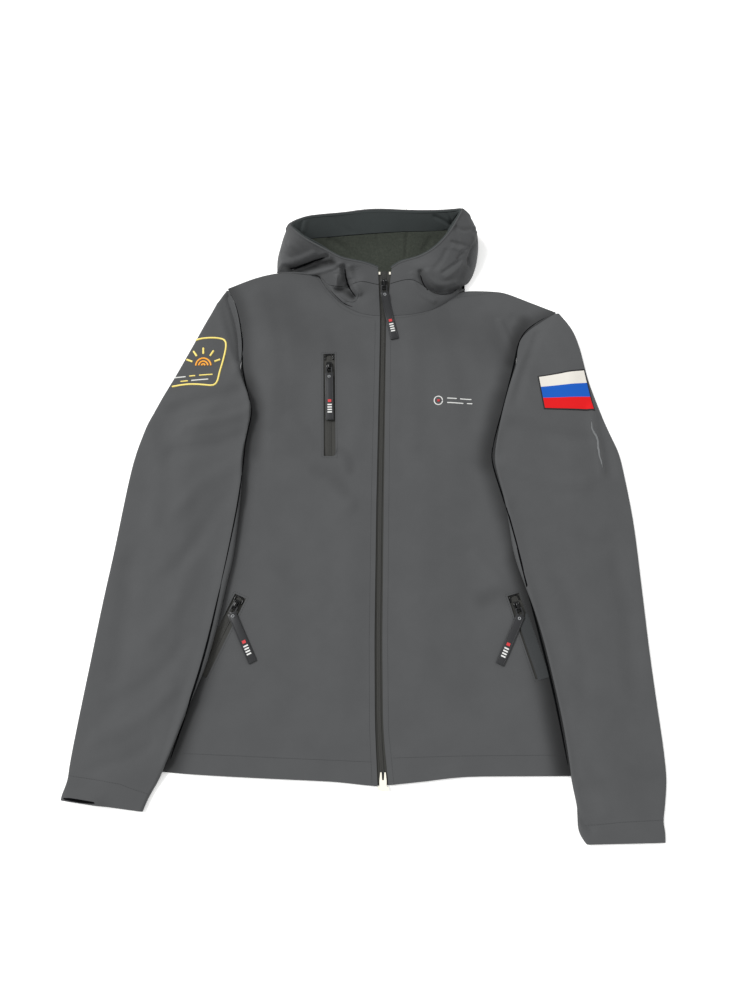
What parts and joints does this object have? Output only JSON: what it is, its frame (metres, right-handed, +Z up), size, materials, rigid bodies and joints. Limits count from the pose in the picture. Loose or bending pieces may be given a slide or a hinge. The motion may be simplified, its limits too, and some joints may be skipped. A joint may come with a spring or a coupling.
{
  "type": "softshell jacket",
  "caption": "Hooded softshell jacket laid flat on its back, front zip closed, sleeves beside and over the body, hood standing as an open bowl.",
  "frame": {"origin": "on the floor under the middle of the jacket's outline", "axes": "+X to the wearer's left, +Y from the hem to the hood, +Z up, away from the floor"},
  "size_m": [0.7074, 0.833, 0.056],
  "materials": {
    "shell": "matt woven softshell",
    "lining": "dark olive fleece",
    "zip_tape": "dark woven zip tape",
    "hardware": "satin black",
    "pull": "satin black moulded strip",
    "ivory": "ivory moulded plastic",
    "patch": "woven patch"
  },
  "bodies": {
    "jacket": {"back": "shell", "front_right": "shell", "front_left": "shell", "sleeve_right": "shell", "sleeve_left": "shell", "collar_left": "shell", "collar_right": "shell", "collar_back": "shell", "hood_left": "shell", "hood_centre": "shell", "hood_right": "shell", "hood_under": "shell", "hood_facing": "shell", "hood_lining": "lining", "main_zip_tape_right": "zip_tape", "main_zip_tape_left": "zip_tape", "main_zip_teeth": "zip_tape", "main_zip_stop_right": "ivory", "main_zip_stop_left": "ivory", "main_zip_box": "ivory", "main_zip_slider": "hardware", "chest_zip_tape": "zip_tape", "chest_zip_slider": "hardware", "hand_zip_right_tape": "zip_tape", "hand_zip_right_slider": "hardware", "hand_zip_left_tape": "zip_tape", "hand_zip_left_slider": "hardware", "flag_patch": "patch"},
    "main_zip_pull": {"main_zip_pull": "pull"},
    "chest_zip_pull": {"chest_zip_pull": "pull"},
    "hand_zip_right_pull": {"hand_zip_right_pull": "pull"},
    "hand_zip_left_pull": {"hand_zip_left_pull": "pull"}
  },
  "joints": [
    {"name": "main_zip_pull_hinge", "type": "hinge", "parent": "jacket", "child": "main_zip_pull", "pos_m": [0.02411, 0.29136, 0.0215], "axis": [-1, 0, 0], "range_deg": [0, 150]},
    {"name": "chest_zip_pull_hinge", "type": "hinge", "parent": "jacket", "child": "chest_zip_pull", "pos_m": [-0.0503, 0.17561, 0.00885], "axis": [-0.9998, -0.0209, 0], "range_deg": [0, 150]},
    {"name": "hand_zip_right_pull_hinge", "type": "hinge", "parent": "jacket", "child": "hand_zip_right_pull", "pos_m": [-0.16178, -0.14451, 0.00685], "axis": [-0.91, 0.4147, 0], "range_deg": [0, 150]},
    {"name": "hand_zip_left_pull_hinge", "type": "hinge", "parent": "jacket", "child": "hand_zip_left_pull", "pos_m": [0.18865, -0.14705, 0.00685], "axis": [-0.9588, -0.284, 0], "range_deg": [0, 150]}
  ]
}
